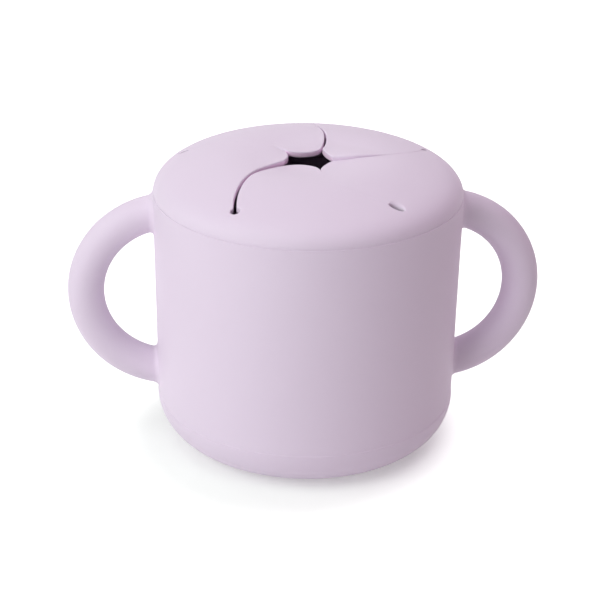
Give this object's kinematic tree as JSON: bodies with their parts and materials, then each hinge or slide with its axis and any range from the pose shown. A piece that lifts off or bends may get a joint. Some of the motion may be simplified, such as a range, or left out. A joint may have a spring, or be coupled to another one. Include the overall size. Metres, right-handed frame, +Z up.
{
  "type": "toddler snack container",
  "caption": "Soft round snack cup with two loop handles and a lift-off lid whose top opens by curved flaps around a star-shaped hole.",
  "frame": {"origin": "centre of the foot, on the surface that the cup stands on", "axes": "+Z up, X through both handles, -Y is the front"},
  "size_m": [0.1406, 0.09, 0.0858],
  "materials": {
    "cup_silicone": "matt moulded silicone",
    "lid_silicone": "matt moulded silicone"
  },
  "bodies": {
    "cup": {"cup_body": "cup_silicone", "handle_left": "cup_silicone", "handle_right": "cup_silicone"},
    "lid": {"lid_rim": "lid_silicone"},
    "flap_1": {"flap_1": "lid_silicone"},
    "flap_2": {"flap_2": "lid_silicone"},
    "flap_3": {"flap_3": "lid_silicone"},
    "flap_4": {"flap_4": "lid_silicone"},
    "flap_5": {"flap_5": "lid_silicone"}
  },
  "joints": [
    {"name": "lid_lift", "type": "slide", "parent": "cup", "child": "lid", "axis": [0, 0, 1], "range_m": [0, 0.06]},
    {"name": "flap_1_bend", "type": "hinge", "parent": "lid", "child": "flap_1", "pos_m": [0, -0.02838, 0.08305], "axis": [1, 0, 0], "range_deg": [-80, 35], "stiffness_Nm_per_rad": 0.02},
    {"name": "flap_2_bend", "type": "hinge", "parent": "lid", "child": "flap_2", "pos_m": [0.02699, -0.00877, 0.08305], "axis": [0.309, 0.9511, 0], "range_deg": [-80, 35], "stiffness_Nm_per_rad": 0.02},
    {"name": "flap_3_bend", "type": "hinge", "parent": "lid", "child": "flap_3", "pos_m": [0.01668, 0.02296, 0.08305], "axis": [-0.809, 0.5878, 0], "range_deg": [-80, 35], "stiffness_Nm_per_rad": 0.02},
    {"name": "flap_4_bend", "type": "hinge", "parent": "lid", "child": "flap_4", "pos_m": [-0.01668, 0.02296, 0.08305], "axis": [-0.809, -0.5878, 0], "range_deg": [-80, 35], "stiffness_Nm_per_rad": 0.02},
    {"name": "flap_5_bend", "type": "hinge", "parent": "lid", "child": "flap_5", "pos_m": [-0.02699, -0.00877, 0.08305], "axis": [0.309, -0.9511, 0], "range_deg": [-80, 35], "stiffness_Nm_per_rad": 0.02}
  ]
}
